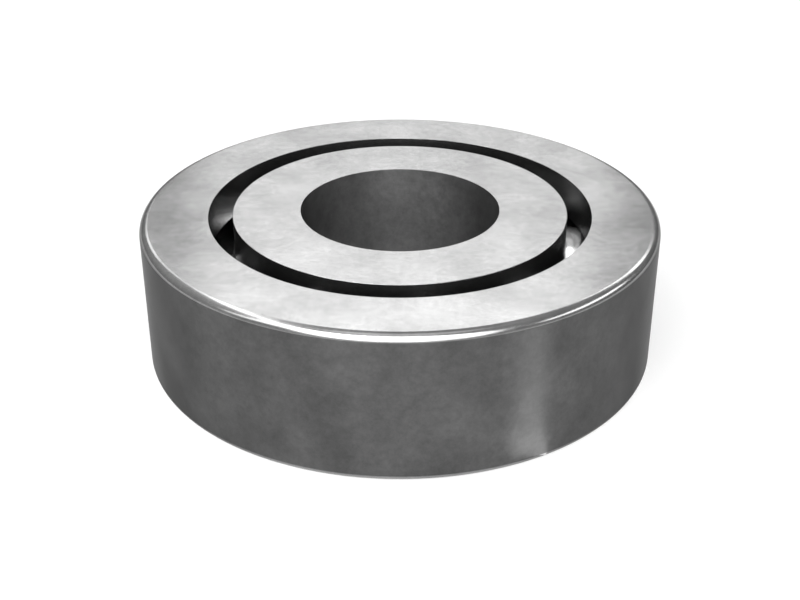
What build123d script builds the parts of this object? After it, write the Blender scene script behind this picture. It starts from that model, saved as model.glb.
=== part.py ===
"""Single-row ball bearing, 20 mm bore, 52 mm outside diameter, 15 mm wide.

Millimetres. The origin is the bearing's centre and +Z is its axis, so the two side
faces lie at z = +width / 2 and z = -width / 2. The rings are concentric about Z, the
balls run between them on the pitch circle, and a snap-in crown cage keeps the balls
apart. The cage's closed side faces down.
"""

import os
from math import cos, pi, radians, sin, sqrt

from build123d import *

# Boundary sizes that the shaft and the housing see
bore_diameter = 20.0
outside_diameter = 52.0
width = 15.0
outer_corner_radius = 0.85  # rounding of the outer ring's outside corners
edge_break = 0.05  # tiny chamfer on the bore edges and on the land edges

# Balls, and the grooves that they run in
ball_diameter = 7.0
ball_count = 8
first_ball_angle = 10.4  # degrees from +X towards +Y
groove_ratio = 0.506  # groove radius as a share of the ball diameter
running_clearance = 0.01  # between a ball and the bottom of each groove
land_gap = 2.4  # open space between the rings beside the grooves, radially

# Crown cage
cage_clearance = 0.3  # between the cage and each ring's land, radially
cage_floor = 1.2  # material left under each pocket
cage_rounding = 0.35  # rounding of the closed side's two edges
pocket_clearance = 0.12  # between a ball and its pocket
claw_height = 1.2  # how far the claws reach past the ball's equator
claw_thickness = 1.1  # at the claw's tip

bore_radius = bore_diameter / 2
outside_radius = outside_diameter / 2
ball_radius = ball_diameter / 2
pitch_radius = (bore_radius + outside_radius) / 2
inner_land_radius = pitch_radius - land_gap / 2
outer_land_radius = pitch_radius + land_gap / 2
ball_pitch_angle = 360.0 / ball_count

groove_radius = groove_ratio * ball_diameter
outer_groove_centre = pitch_radius + ball_radius + running_clearance - groove_radius
inner_groove_centre = pitch_radius - ball_radius - running_clearance + groove_radius

cage_wall = land_gap - 2 * cage_clearance
pocket_radius = ball_radius + pocket_clearance
cage_bottom = -(pocket_radius + cage_floor)
pocket_mouth_radius = sqrt(pocket_radius**2 - claw_height**2)
half_ball_spacing = pitch_radius * sin(pi / ball_count)
trough_radius = half_ball_spacing - pocket_mouth_radius - claw_thickness
trough_length = 3 * cage_wall  # long enough to cut right through the wall

os.makedirs("parts", exist_ok=True)


def save(piece, name):
    """Labels a finished piece and writes its file."""
    piece.label = name
    export_step(piece, f"parts/{name}.step")


# The outer ring: rounded outside corners, straight lands, ball groove in the middle
with BuildPart() as outer_ring:
    with BuildSketch(Plane.XZ):
        with Locations(((outer_land_radius + outside_radius) / 2, 0)):
            Rectangle(outside_radius - outer_land_radius, width)
        land_corners = vertices().group_by(Axis.X)[0]
        outside_corners = vertices().group_by(Axis.X)[-1]
        fillet(outside_corners, outer_corner_radius)
        chamfer(land_corners, edge_break)
        with Locations((outer_groove_centre, 0)):
            Circle(groove_radius, mode=Mode.SUBTRACT)
    revolve(axis=Axis.Z)
save(outer_ring.part, "outer_ring")

# The inner ring: straight bore, straight lands, faces flush with the outer ring's
with BuildPart() as inner_ring:
    with BuildSketch(Plane.XZ):
        with Locations(((bore_radius + inner_land_radius) / 2, 0)):
            Rectangle(inner_land_radius - bore_radius, width)
        chamfer(vertices(), edge_break)
        with Locations((inner_groove_centre, 0)):
            Circle(groove_radius, mode=Mode.SUBTRACT)
    revolve(axis=Axis.Z)
save(inner_ring.part, "inner_ring")

# The balls, evenly spaced on the pitch circle
for index in range(ball_count):
    angle = radians(first_ball_angle + index * ball_pitch_angle)
    with BuildPart() as ball:
        with Locations((pitch_radius * cos(angle), pitch_radius * sin(angle), 0)):
            Sphere(ball_radius)
    save(ball.part, f"ball_{index + 1}")

# The cage: a plain hoop with a round pocket for each ball, open at the top, and a
# trough between neighbouring pockets that leaves two springy claws round each ball
with BuildPart() as cage:
    with BuildSketch(Plane.XZ):
        with Locations((pitch_radius, (claw_height + cage_bottom) / 2)):
            Rectangle(cage_wall, claw_height - cage_bottom)
        fillet(vertices().group_by(Axis.Y)[0], cage_rounding)
    revolve(axis=Axis.Z)
    with PolarLocations(pitch_radius, ball_count, start_angle=first_ball_angle):
        Sphere(pocket_radius, mode=Mode.SUBTRACT)
    with Locations((0, 0, claw_height)):
        trough_start = first_ball_angle + ball_pitch_angle / 2
        with PolarLocations(pitch_radius, ball_count, start_angle=trough_start):
            Cylinder(trough_radius, trough_length, rotation=(0, 90, 0), mode=Mode.SUBTRACT)
save(cage.part, "cage")
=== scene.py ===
"""Looks for the single-row ball bearing: two ground steel rings, eight balls and a crown cage."""

from math import asin, atan2, cos, degrees, hypot, pi, radians, sin, sqrt, tan

import bpy
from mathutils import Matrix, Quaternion, Vector


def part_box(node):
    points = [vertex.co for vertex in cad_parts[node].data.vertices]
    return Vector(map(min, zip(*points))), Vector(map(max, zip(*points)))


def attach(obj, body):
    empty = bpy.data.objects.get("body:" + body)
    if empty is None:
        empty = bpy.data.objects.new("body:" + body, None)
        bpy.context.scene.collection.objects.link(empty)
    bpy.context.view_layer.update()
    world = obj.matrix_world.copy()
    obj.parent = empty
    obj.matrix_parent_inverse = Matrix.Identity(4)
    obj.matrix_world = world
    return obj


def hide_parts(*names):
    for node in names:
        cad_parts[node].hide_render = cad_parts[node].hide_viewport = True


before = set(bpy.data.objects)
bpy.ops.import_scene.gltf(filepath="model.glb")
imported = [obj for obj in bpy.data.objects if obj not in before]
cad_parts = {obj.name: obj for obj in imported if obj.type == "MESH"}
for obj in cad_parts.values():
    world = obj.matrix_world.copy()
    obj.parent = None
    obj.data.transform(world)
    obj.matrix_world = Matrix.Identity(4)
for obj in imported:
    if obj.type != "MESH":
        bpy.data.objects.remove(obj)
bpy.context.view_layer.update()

# The camera stands in front of the bearing and looks down on it, as in the photograph.
# Its distance and pitch were worked out from the outlines of the rings.
millimetre = 0.001
image_width = 800  # pixels
focal_length = 1270.7  # pixels
camera_pitch = radians(28.418)  # below the horizon
camera_distance = 133.4 * millimetre
aim_height = -3.134 * millimetre  # where the view's centre crosses the bearing's axis

camera_data = bpy.data.cameras.new("camera")
camera_data.sensor_width = 36
camera_data.lens = focal_length / image_width * camera_data.sensor_width
camera_data.clip_start = 1 * millimetre
camera = bpy.data.objects.new("camera", camera_data)
camera.location = (
    0,
    -camera_distance * cos(camera_pitch),
    aim_height + camera_distance * sin(camera_pitch),
)
camera.rotation_euler = (pi / 2 - camera_pitch, 0, 0)
bpy.context.scene.collection.objects.link(camera)
bpy.context.scene.camera = camera

# The outer ring is one piece of hardened steel, turned, then ground all over. Its faces
# are bright satin and faintly clouded, its outside corners are rounded and take a painted
# shade where they turn upright, its ground outside wall takes a dark painted shade, and its
# lands and ball groove lie between the two in painted shade.
outside_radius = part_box("outer_ring")[1].x
half_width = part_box("outer_ring")[1].z
inner_land_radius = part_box("inner_ring")[1].x
ball_centre = (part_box("ball_1")[0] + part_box("ball_1")[1]) / 2
ball_radius = (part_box("ball_1")[1].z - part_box("ball_1")[0].z) / 2
pitch_radius = hypot(ball_centre.x, ball_centre.y)
outer_land_radius = 2 * pitch_radius - inner_land_radius
corner_radius = 0.85 * millimetre
edge_break = 0.05 * millimetre
running_clearance = 0.01 * millimetre
groove_radius = 0.506 * 2 * ball_radius
outer_groove_centre = pitch_radius + ball_radius + running_clearance - groove_radius
turning_steps = 480
corner_steps = 24
edge_steps = 3
groove_steps = 40
shading_margin = 0.03 * millimetre  # a flat stretch has a point this close to each end
wall_depth = 0.02 * millimetre  # a corner joins the ground wall once it is this close to it
crease_angle = radians(25)  # a sharper edge than this is shaded as an edge
cloud_scale = 170  # broad clouds in the steel, per metre
mottle_scale = 1200  # fine mottling in the steel, per metre
noise_low = 0.3  # nearly all of a noise lies between these two
noise_high = 0.7
smear_turn = 0.25  # turns; lights smear along the ring's axis


def add_node(tree, kind, inputs=None, **settings):
    """Adds a node, with its properties set and its inputs set or linked."""
    node = tree.nodes.new(kind)
    for name, value in settings.items():
        setattr(node, name, value)
    for name, value in (inputs or {}).items():
        if isinstance(value, bpy.types.NodeSocket):
            tree.links.new(value, node.inputs[name])
        else:
            node.inputs[name].default_value = value
    return node


def lathe():
    """The tree that turns an outline, drawn in the XZ plane, about Z into a ring."""
    tree = bpy.data.node_groups.new("lathe", "GeometryNodeTree")
    sockets = (
        ("Outline", "NodeSocketGeometry"),
        ("Turning Radius", "NodeSocketFloat"),
        ("Steps", "NodeSocketInt"),
        ("Corner Angle", "NodeSocketFloat"),
        ("Wall Radius", "NodeSocketFloat"),
        ("Wall Depth", "NodeSocketFloat"),
        ("Face Material", "NodeSocketMaterial"),
        ("Wall Material", "NodeSocketMaterial"),
    )
    for name, kind in sockets:
        tree.interface.new_socket(name, in_out="INPUT", socket_type=kind)
    tree.interface.new_socket("Ring", in_out="OUTPUT", socket_type="NodeSocketGeometry")
    given = add_node(tree, "NodeGroupInput").outputs
    inward = add_node(
        tree, "ShaderNodeMath", {0: given["Turning Radius"], 1: -1.0}, operation="MULTIPLY"
    )
    shift = add_node(tree, "ShaderNodeCombineXYZ", {"X": inward.outputs[0]})
    laid = add_node(
        tree,
        "GeometryNodeTransform",
        {
            "Geometry": given["Outline"],
            "Translation": shift.outputs[0],
            "Rotation": (pi / 2, 0, 0),
        },
    )
    outline = add_node(tree, "GeometryNodeMeshToCurve", {"Mesh": laid.outputs[0]})
    circle = add_node(
        tree,
        "GeometryNodeCurvePrimitiveCircle",
        {"Resolution": given["Steps"], "Radius": given["Turning Radius"]},
    )
    ring = add_node(
        tree,
        "GeometryNodeCurveToMesh",
        {"Curve": circle.outputs["Curve"], "Profile Curve": outline.outputs[0]},
    )
    edge = add_node(tree, "GeometryNodeInputMeshEdgeAngle")
    sharp = add_node(
        tree,
        "FunctionNodeCompare",
        {0: edge.outputs["Unsigned Angle"], 1: given["Corner Angle"]},
        data_type="FLOAT",
        operation="GREATER_THAN",
    )
    smooth = add_node(
        tree,
        "GeometryNodeSetShadeSmooth",
        {"Geometry": ring.outputs[0], "Shade Smooth": True},
    )
    creased = add_node(
        tree,
        "GeometryNodeSetShadeSmooth",
        {
            "Geometry": smooth.outputs[0],
            "Selection": sharp.outputs[0],
            "Shade Smooth": False,
        },
        domain="EDGE",
    )
    real = add_node(tree, "GeometryNodeRealizeInstances", {0: creased.outputs[0]})
    faced = add_node(
        tree,
        "GeometryNodeSetMaterial",
        {"Geometry": real.outputs[0], "Material": given["Face Material"]},
    )
    spot = add_node(tree, "GeometryNodeInputPosition")
    flat_spot = add_node(
        tree,
        "ShaderNodeVectorMath",
        {0: spot.outputs[0], 1: (1, 1, 0)},
        operation="MULTIPLY",
    )
    radius = add_node(
        tree, "ShaderNodeVectorMath", {0: flat_spot.outputs[0]}, operation="LENGTH"
    )
    on_wall = add_node(
        tree,
        "ShaderNodeMath",
        {0: radius.outputs["Value"], 1: given["Wall Radius"], 2: given["Wall Depth"]},
        operation="COMPARE",
    )
    dressed = add_node(
        tree,
        "GeometryNodeSetMaterial",
        {
            "Geometry": faced.outputs[0],
            "Selection": on_wall.outputs[0],
            "Material": given["Wall Material"],
        },
    )
    add_node(tree, "NodeGroupOutput", {"Ring": dressed.outputs[0]})
    return tree


def grown(name, start, tree, values):
    """A plain mesh object: what the tree makes of the start mesh with these input values."""
    seed = bpy.data.objects.new(name + "_start", start)
    bpy.context.scene.collection.objects.link(seed)
    modifier = seed.modifiers.new("grow", "NODES")
    modifier.node_group = tree
    sockets = {item.name: item.identifier for item in tree.interface.items_tree}
    for key, value in values.items():
        modifier[sockets[key]] = value
    evaluated = seed.evaluated_get(bpy.context.evaluated_depsgraph_get())
    mesh = bpy.data.meshes.new_from_object(evaluated)
    bpy.data.objects.remove(seed)
    mesh.name = name
    piece = bpy.data.objects.new(name, mesh)
    bpy.context.scene.collection.objects.link(piece)
    return piece


def arc(centre, radius, start, end, steps):
    """Points of an arc in the XZ plane, its angles in degrees from outwards to up."""
    turns = [radians(start + (end - start) * k / steps) for k in range(steps + 1)]
    return [(centre[0] + radius * cos(t), centre[1] + radius * sin(t)) for t in turns]


def outline_mesh(points):
    """A closed outline of (radius, height) points, with a support point at each flat's ends."""
    closed = []
    for (r0, z0), (r1, z1) in zip(points, points[1:] + points[:1]):
        closed.append((r0, z0))
        length = hypot(r1 - r0, z1 - z0)
        if length > 10 * shading_margin:
            share = shading_margin / length
            closed.append((r0 + (r1 - r0) * share, z0 + (z1 - z0) * share))
            closed.append((r1 - (r1 - r0) * share, z1 - (z1 - z0) * share))
    count = len(closed)
    mesh = bpy.data.meshes.new("outline")
    mesh.from_pydata(
        [(r, 0, z) for r, z in closed], [(k, (k + 1) % count) for k in range(count)], []
    )
    return mesh


def ring_outline(land, far, groove_centre, far_corner, far_steps):
    """A ring's section: its grooved land at one radius and its plain wall at the other."""
    side = 1 if far > land else -1
    reach = edge_break
    half_groove = sqrt(groove_radius**2 - (land - groove_centre) ** 2)
    swing = degrees(asin(half_groove / groove_radius))

    def mirrored(points):
        return points if side > 0 else [(2 * land - r, z) for r, z in points]

    depth = abs(far - land)
    far_up = arc(
        (land + depth - far_corner, half_width - far_corner), far_corner, 90, 0, far_steps
    )
    far_down = [(r, -z) for r, z in reversed(far_up)]
    near_down = arc((land + reach, reach - half_width), reach, 270, 180, edge_steps)
    near_up = [(r, -z) for r, z in reversed(near_down)]
    groove_middle = land + side * (groove_centre - land)
    groove = arc((groove_middle, 0), groove_radius, -swing, swing, groove_steps)
    return mirrored(far_up + far_down + near_down + groove + near_up)


def spread(tree, noise, low, high):
    """A node that stretches the middle of a noise, where nearly all of it lies, to a range."""
    return add_node(
        tree,
        "ShaderNodeMapRange",
        {"Value": noise, 1: noise_low, 2: noise_high, 3: low, 4: high},
    )


def paint_grey(tree, shade, shader):
    """Gives a shader the grey that a shade node works out."""
    grey = add_node(
        tree,
        "ShaderNodeCombineColor",
        {0: shade.outputs[0], 1: shade.outputs[0], 2: shade.outputs[0]},
    )
    tree.links.new(grey.outputs[0], shader.inputs["Base Color"])


def clouded_steel(name, metal, roughness, rough_spread, mottling, anisotropy, edge_tint):
    """Bare steel whose shade and gloss are faintly mottled, like metal that has been ground.

    The shade swings by the share that mottling gives, and the roughness by rough_spread.
    Returns the material, the socket that takes the steel's grey with any painted shade,
    and the socket that takes extra roughness.
    """
    material = bpy.data.materials.new(name)
    material.use_nodes = True
    tree = material.node_tree
    shader = tree.nodes["Principled BSDF"]
    shader.inputs["Metallic"].default_value = metal
    shader.inputs["Specular Tint"].default_value = (edge_tint, edge_tint, edge_tint, 1)
    shader.inputs["Anisotropic"].default_value = anisotropy
    shader.inputs["Anisotropic Rotation"].default_value = smear_turn
    place = add_node(tree, "ShaderNodeTexCoord").outputs["Object"]
    clouds = add_node(
        tree,
        "ShaderNodeTexNoise",
        {"Vector": place, "Scale": cloud_scale, "Detail": 2, "Roughness": 0.5},
    )
    mottle = add_node(
        tree,
        "ShaderNodeTexNoise",
        {"Vector": place, "Scale": mottle_scale, "Detail": 8, "Roughness": 0.8},
    )
    broad = spread(tree, clouds.outputs[0], 1 - mottling, 1 + mottling)
    fine = spread(tree, mottle.outputs[0], 1 - mottling, 1 + mottling)
    pattern = add_node(
        tree,
        "ShaderNodeMath",
        {0: broad.outputs[0], 1: fine.outputs[0]},
        operation="MULTIPLY",
    )
    shade = add_node(
        tree, "ShaderNodeMath", {0: pattern.outputs[0]}, operation="MULTIPLY"
    )
    paint_grey(tree, shade, shader)
    rough = spread(tree, mottle.outputs[0], roughness - rough_spread, roughness + rough_spread)
    rougher = add_node(tree, "ShaderNodeMath", {0: rough.outputs[0], 1: 0.0}, operation="ADD")
    tree.links.new(rougher.outputs[0], shader.inputs["Roughness"])
    return material, shade.inputs[1], rougher.inputs[1]


def outside_mask(tree, radius):
    """A socket that is 1 further than this radius from the axis, and 0 nearer."""
    place = add_node(tree, "ShaderNodeTexCoord").outputs["Object"]
    flat_place = add_node(
        tree, "ShaderNodeVectorMath", {0: place, 1: (1, 1, 0)}, operation="MULTIPLY"
    )
    distance = add_node(
        tree, "ShaderNodeVectorMath", {0: flat_place.outputs[0]}, operation="LENGTH"
    )
    mask = add_node(
        tree,
        "ShaderNodeMath",
        {0: distance.outputs["Value"], 1: radius},
        operation="GREATER_THAN",
    )
    return mask.outputs[0]


def satin_steel():
    """The faces, rounded corners, lands and groove: bright satin, with a painted shade that makes
    them darker where upright.
    """
    face_shade = 0.65
    # Painted shade: upright parts of the corners, and the lands and groove, get these darker greys
    # than the faces.
    painted_corner_shade = 0.12
    painted_groove_shade = 0.36
    lying = 0.9  # a surface this level counts as a face
    standing = 0.1  # and one this level as upright
    face_roughness = 0.03  # more than the rounded corners have
    groove_roughness = 0.08
    material, steel_grey_and_painted_shade, extra_roughness = clouded_steel(
        "satin_steel",
        metal=1.0,
        roughness=0.18,
        rough_spread=0.012,
        mottling=0.13,
        anisotropy=0.0,
        edge_tint=0.4,
    )
    tree = material.node_tree
    normal = add_node(tree, "ShaderNodeTexCoord").outputs["Normal"]
    lean = add_node(tree, "ShaderNodeSeparateXYZ", {0: normal})
    level = add_node(tree, "ShaderNodeMath", {0: lean.outputs["Z"]}, operation="ABSOLUTE")
    upright = add_node(
        tree,
        "ShaderNodeMapRange",
        {"Value": level.outputs[0], 1: lying, 2: standing, 3: 0.0, 4: 1.0},
    )
    outside = outside_mask(tree, (outer_land_radius + outside_radius) / 2)
    painted_upright_shade = add_node(
        tree, "ShaderNodeMapRange", {"Value": outside, 3: painted_groove_shade, 4: painted_corner_shade}
    )
    shade = add_node(
        tree,
        "ShaderNodeMapRange",
        {"Value": upright.outputs[0], 3: face_shade, 4: painted_upright_shade.outputs[0]},
    )
    tree.links.new(shade.outputs[0], steel_grey_and_painted_shade)
    upright_roughness = add_node(
        tree, "ShaderNodeMapRange", {"Value": outside, 3: groove_roughness, 4: 0.0}
    )
    roughness = add_node(
        tree,
        "ShaderNodeMapRange",
        {"Value": upright.outputs[0], 3: face_roughness, 4: upright_roughness.outputs[0]},
    )
    tree.links.new(roughness.outputs[0], extra_roughness)
    return material


def ground_steel():
    """The straight outside wall and bore, ground round and round, so lights smear upright, with a
    dark painted shade.
    """
    # Painted shade: the outside wall and bore get these dark greys, the outside darkest.
    painted_outside_shade = 0.085
    painted_bore_shade = 0.13
    material, steel_grey_and_painted_shade, _ = clouded_steel(
        "ground_steel",
        metal=0.75,
        roughness=0.38,
        rough_spread=0.04,
        mottling=0.2,
        anisotropy=0.6,
        edge_tint=0.4,
    )
    tree = material.node_tree
    outside = outside_mask(tree, outer_land_radius)
    shade = add_node(
        tree, "ShaderNodeMapRange", {"Value": outside, 3: painted_bore_shade, 4: painted_outside_shade}
    )
    tree.links.new(shade.outputs[0], steel_grey_and_painted_shade)
    return material


def turned_ring(name, outline, wall_radius):
    """A ring turned from its outline on the lathe, its straight wall at the given radius."""
    radii = [vertex.co.x for vertex in outline.vertices]
    return grown(
        name,
        outline,
        lathe_tree,
        {
            "Turning Radius": (min(radii) + max(radii)) / 2,
            "Steps": turning_steps,
            "Corner Angle": crease_angle,
            "Wall Radius": wall_radius,
            "Wall Depth": wall_depth,
            "Face Material": satin,
            "Wall Material": ground,
        },
    )


lathe_tree = lathe()
satin = satin_steel()
ground = ground_steel()
outer_outline = ring_outline(
    outer_land_radius, outside_radius, outer_groove_centre, corner_radius, corner_steps
)
outer_ring = turned_ring("ground_outer_ring", outline_mesh(outer_outline), outside_radius)
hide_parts("outer_ring")
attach(outer_ring, "outer_ring")

# The inner ring is turned and ground from the same steel, and takes the shaft in its
# straight bore. Its faces lie flush with the outer ring's, and its edges are crisp.
bore_radius = 10 * millimetre
inner_groove_centre = pitch_radius - ball_radius - running_clearance + groove_radius
inner_outline = ring_outline(
    inner_land_radius, bore_radius, inner_groove_centre, edge_break, edge_steps
)
inner_ring = turned_ring("ground_inner_ring", outline_mesh(inner_outline), bore_radius)
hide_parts("inner_ring")
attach(inner_ring, "inner_ring")

# The balls are lapped and polished chrome steel, and run in the grooves between the
# rings. Each is a separate piece that rolls on its own axis.
ball_count = sum(name.startswith("ball_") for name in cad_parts)
first_ball_angle = atan2(ball_centre.y, ball_centre.x)
ball_cuts = 28  # divisions of each of the six patches that a ball is rounded from
film_scale = 500  # patches of the oil film, per metre


def ball_placer():
    """The tree that rounds one ball from a cube and sets it at its place on the circle."""
    tree = bpy.data.node_groups.new("ball_placer", "GeometryNodeTree")
    sockets = (
        ("Start", "NodeSocketGeometry"),
        ("Ball Radius", "NodeSocketFloat"),
        ("Pitch Radius", "NodeSocketFloat"),
        ("First Angle", "NodeSocketFloat"),
        ("Balls", "NodeSocketInt"),
        ("Place", "NodeSocketInt"),
        ("Cuts", "NodeSocketInt"),
        ("Material", "NodeSocketMaterial"),
    )
    for name, kind in sockets:
        tree.interface.new_socket(name, in_out="INPUT", socket_type=kind)
    tree.interface.new_socket("Ball", in_out="OUTPUT", socket_type="NodeSocketGeometry")
    given = add_node(tree, "NodeGroupInput").outputs
    cube = add_node(
        tree,
        "GeometryNodeMeshCube",
        {
            "Size": (pi / 2, pi / 2, pi / 2),
            "Vertices X": given["Cuts"],
            "Vertices Y": given["Cuts"],
            "Vertices Z": given["Cuts"],
        },
    )
    spot = add_node(tree, "GeometryNodeInputPosition")
    even = add_node(tree, "ShaderNodeVectorMath", {0: spot.outputs[0]}, operation="TANGENT")
    unit = add_node(
        tree, "ShaderNodeVectorMath", {0: even.outputs[0]}, operation="NORMALIZE"
    )
    round_spot = add_node(
        tree,
        "ShaderNodeVectorMath",
        {0: unit.outputs[0], "Scale": given["Ball Radius"]},
        operation="SCALE",
    )
    ball = add_node(
        tree,
        "GeometryNodeSetPosition",
        {"Geometry": cube.outputs["Mesh"], "Position": round_spot.outputs[0]},
    )
    circle = add_node(
        tree,
        "GeometryNodeMeshCircle",
        {"Vertices": given["Balls"], "Radius": given["Pitch Radius"]},
    )
    turn = add_node(tree, "ShaderNodeCombineXYZ", {"Z": given["First Angle"]})
    turned = add_node(
        tree,
        "GeometryNodeTransform",
        {"Geometry": circle.outputs[0], "Rotation": turn.outputs[0]},
    )
    index = add_node(tree, "GeometryNodeInputIndex")
    chosen = add_node(
        tree,
        "FunctionNodeCompare",
        {2: index.outputs[0], 3: given["Place"]},
        data_type="INT",
        operation="EQUAL",
    )
    placed = add_node(
        tree,
        "GeometryNodeInstanceOnPoints",
        {
            "Points": turned.outputs[0],
            "Selection": chosen.outputs[0],
            "Instance": ball.outputs[0],
        },
    )
    real = add_node(tree, "GeometryNodeRealizeInstances", {0: placed.outputs[0]})
    smooth = add_node(
        tree,
        "GeometryNodeSetShadeSmooth",
        {"Geometry": real.outputs[0], "Shade Smooth": True},
    )
    dressed = add_node(
        tree,
        "GeometryNodeSetMaterial",
        {"Geometry": smooth.outputs[0], "Material": given["Material"]},
    )
    add_node(tree, "NodeGroupOutput", {"Ball": dressed.outputs[0]})
    return tree


def ball_steel():
    """Polished chrome steel with a breath of oil on it."""
    darkest, lightest = 0.74, 0.82
    glossiest, dullest = 0.22, 0.28
    material = bpy.data.materials.new("ball_steel")
    material.use_nodes = True
    tree = material.node_tree
    shader = tree.nodes["Principled BSDF"]
    shader.inputs["Metallic"].default_value = 1.0
    place = add_node(tree, "ShaderNodeTexCoord").outputs["Object"]
    film = add_node(
        tree,
        "ShaderNodeTexNoise",
        {"Vector": place, "Scale": film_scale, "Detail": 4, "Roughness": 0.6},
    )
    paint_grey(tree, spread(tree, film.outputs[0], darkest, lightest), shader)
    rough = spread(tree, film.outputs[0], glossiest, dullest)
    tree.links.new(rough.outputs[0], shader.inputs["Roughness"])
    return material


ball_tree = ball_placer()
polish = ball_steel()
for place in range(ball_count):
    ball = grown(
        f"polished_ball_{place + 1}",
        bpy.data.meshes.new("nothing"),
        ball_tree,
        {
            "Ball Radius": ball_radius,
            "Pitch Radius": pitch_radius,
            "First Angle": first_ball_angle,
            "Balls": ball_count,
            "Place": place,
            "Cuts": ball_cuts,
            "Material": polish,
        },
    )
    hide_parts(f"ball_{place + 1}")
    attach(ball, f"ball_{place + 1}")

# The cage is one moulded crown of black polymer that snaps over the balls from below and
# keeps them apart. Its hoop has a round pocket for each ball and a trough between pockets.
grain_scale = 5000  # grains per metre
grain_depth = 0.01 * millimetre


def cage_polymer():
    """Black moulded polymer with a fine spark-eroded grain."""
    darkest, lightest = 0.045, 0.06
    glossiest, dullest = 0.45, 0.65
    material = bpy.data.materials.new("cage_polymer")
    material.use_nodes = True
    tree = material.node_tree
    shader = tree.nodes["Principled BSDF"]
    place = add_node(tree, "ShaderNodeTexCoord").outputs["Object"]
    grain = add_node(
        tree,
        "ShaderNodeTexNoise",
        {"Vector": place, "Scale": grain_scale, "Detail": 3, "Roughness": 0.6},
    )
    shade = add_node(
        tree,
        "ShaderNodeMapRange",
        {"Value": grain.outputs[0], 3: darkest, 4: lightest},
    )
    paint_grey(tree, shade, shader)
    rough = add_node(
        tree,
        "ShaderNodeMapRange",
        {"Value": grain.outputs[0], 3: glossiest, 4: dullest},
    )
    tree.links.new(rough.outputs[0], shader.inputs["Roughness"])
    bump = add_node(
        tree,
        "ShaderNodeBump",
        {"Height": grain.outputs[0], "Strength": 0.4, "Distance": grain_depth},
    )
    tree.links.new(bump.outputs[0], shader.inputs["Normal"])
    return material


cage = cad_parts["cage"]
cage.data.materials.clear()
cage.data.materials.append(cage_polymer())

# The bearing lies on a plain white floor. The floor takes the bearing's soft shadow, and
# shows white to the camera and in the steel.
floor_half_size = 3.0
floor_white = 0.5
floor_glow = 0.5

floor_mesh = bpy.data.meshes.new("floor")
corners = [(-1, -1), (1, -1), (1, 1), (-1, 1)]
floor_mesh.from_pydata(
    [(x * floor_half_size, y * floor_half_size, -half_width) for x, y in corners],
    [],
    [(0, 1, 2, 3)],
)
floor = bpy.data.objects.new("floor", floor_mesh)
bpy.context.scene.collection.objects.link(floor)
paper = bpy.data.materials.new("white_paper")
paper.use_nodes = True
tree = paper.node_tree
tree.nodes.clear()
matt = add_node(
    tree, "ShaderNodeBsdfDiffuse", {"Color": (floor_white, floor_white, floor_white, 1)}
)
ray = add_node(tree, "ShaderNodeLightPath")
seen = add_node(
    tree,
    "ShaderNodeMath",
    {0: ray.outputs["Is Camera Ray"], 1: ray.outputs["Is Glossy Ray"]},
    operation="MAXIMUM",
)
seen_through = add_node(
    tree,
    "ShaderNodeMath",
    {0: seen.outputs[0], 1: ray.outputs["Is Transmission Ray"]},
    operation="MAXIMUM",
)
glow_strength = add_node(
    tree,
    "ShaderNodeMath",
    {0: seen_through.outputs[0], 1: floor_glow},
    operation="MULTIPLY",
)
glow = add_node(tree, "ShaderNodeEmission", {"Strength": glow_strength.outputs[0]})
both = add_node(tree, "ShaderNodeAddShader", {0: matt.outputs[0], 1: glow.outputs[0]})
add_node(tree, "ShaderNodeOutputMaterial", {"Surface": both.outputs[0]})
floor_mesh.materials.append(paper)

# Soft studio lights stand a metre away: a panel and three narrow ones behind the bearing,
# a long one and a small low one at its left, one at its right, and two large ones in front.
# A faint one hangs overhead.
light_distance = 1.0


def softbox(name, bearing, height, width, tall, brightness, roll=0, shape="RECTANGLE"):
    """A soft light, placed and sized by the angles in which the bearing sees it.

    Bearing is in degrees from straight behind the bearing towards the right. Brightness
    is the radiance of the light's face, and roll turns the light on its own axis.
    """
    around, above = radians(bearing), radians(height)
    towards = Vector(
        (sin(around) * cos(above), cos(around) * cos(above), sin(above))
    )
    light = bpy.data.lights.new(name, "AREA")
    light.shape = shape
    light.size = 2 * light_distance * tan(radians(width) / 2)
    light.size_y = 2 * light_distance * tan(radians(tall) / 2)
    face = light.size * light.size_y * (pi / 4 if shape == "ELLIPSE" else 1)
    light.energy = brightness * pi * face
    lamp = bpy.data.objects.new(name, light)
    lamp.location = towards * light_distance
    turn = Quaternion((0, 0, 1), radians(roll))
    lamp.rotation_euler = (towards.to_track_quat("Z", "Y") @ turn).to_euler()
    bpy.context.scene.collection.objects.link(lamp)


softbox("front_light", bearing=182, height=36, width=74, tall=64, brightness=3.6, shape="ELLIPSE")
softbox("front_left_light", bearing=-132, height=48, width=38, tall=30, brightness=2.2)
softbox("left_light", bearing=-79, height=60, width=96, tall=9, brightness=2.4)
softbox("left_low_light", bearing=-108, height=30, width=12, tall=14, brightness=1.4)
softbox("right_light", bearing=93, height=28, width=42, tall=11, brightness=3.0)
softbox("back_left_light", bearing=-22, height=27, width=12, tall=5, brightness=2.9)
softbox("back_middle_light", bearing=0, height=32, width=20, tall=6, brightness=2.1)
softbox("back_right_light", bearing=27, height=33, width=20, tall=7, brightness=3.4, roll=12)
softbox("back_panel", bearing=0.4, height=13, width=22.5, tall=28, brightness=1.05)
softbox("overhead_light", bearing=0, height=90, width=34, tall=34, brightness=0.4, shape="ELLIPSE")

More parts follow.
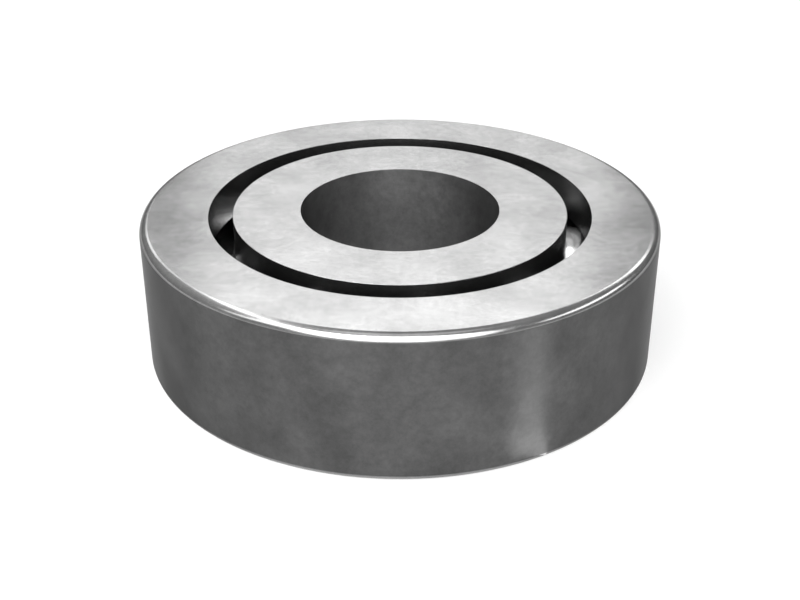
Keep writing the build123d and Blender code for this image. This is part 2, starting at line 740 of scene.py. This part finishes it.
# A small strip light lies on the floor beside the ring and puts an upright streak on its
# ground wall, at the right of the photograph.
streak_angle = radians(-64)  # where on the wall the streak shows
streak_bearing = radians(119)  # from straight behind towards the right, away from the wall
strip_length = 44 * millimetre
strip_width = 4 * millimetre
strip_brightness = 2.5
strip_gap = 1.0 * millimetre  # between the wall and the strip's near end
strip_lift = 0.3 * millimetre  # over the floor

wall_spot = outside_radius * Vector((cos(streak_angle), sin(streak_angle), 0))
outwards = Vector((sin(streak_bearing), cos(streak_bearing), 0))
strip = bpy.data.lights.new("floor_strip", "AREA")
strip.shape = "RECTANGLE"
strip.size = strip_length
strip.size_y = strip_width
strip.energy = strip_brightness * pi * strip_length * strip_width
strip_lamp = bpy.data.objects.new("floor_strip", strip)
strip_lamp.location = wall_spot + outwards * (strip_gap + strip_length / 2)
strip_lamp.location.z = -half_width + strip_lift
strip_lamp.rotation_euler = (pi, 0, pi / 2 - streak_bearing)
bpy.context.scene.collection.objects.link(strip_lamp)

# The room is a soft grey, a little darker at the right and lighter low in front.
room_left = 0.33
room_right = 0.2
side_reach = 0.7  # the shade runs from left to right over this much of each side
front_glow = 0.6
front_start, front_full = 0.3, -0.9  # how far back the glow starts, and where it is full
low_start, low_full = 0.35, 0.05  # the same for height

world = bpy.data.worlds.new("studio")
world.use_nodes = True
bpy.context.scene.world = world
tree = world.node_tree
direction = add_node(tree, "ShaderNodeTexCoord")
way = add_node(tree, "ShaderNodeSeparateXYZ", {0: direction.outputs["Generated"]})
room = add_node(
    tree,
    "ShaderNodeMapRange",
    {"Value": way.outputs["X"], 1: -side_reach, 2: side_reach, 3: room_left, 4: room_right},
)
front = add_node(
    tree,
    "ShaderNodeMapRange",
    {"Value": way.outputs["Y"], 1: front_start, 2: front_full, 3: 0.0, 4: front_glow},
)
low = add_node(
    tree,
    "ShaderNodeMapRange",
    {"Value": way.outputs["Z"], 1: low_start, 2: low_full, 3: 0.0, 4: 1.0},
)
haze = add_node(
    tree,
    "ShaderNodeMath",
    {0: front.outputs[0], 1: low.outputs[0], 2: room.outputs[0]},
    operation="MULTIPLY_ADD",
)
tree.links.new(haze.outputs[0], tree.nodes["Background"].inputs["Strength"])
tree.nodes["Background"].inputs["Color"].default_value = (1, 1, 1, 1)

bpy.context.scene.view_settings.view_transform = "Standard"
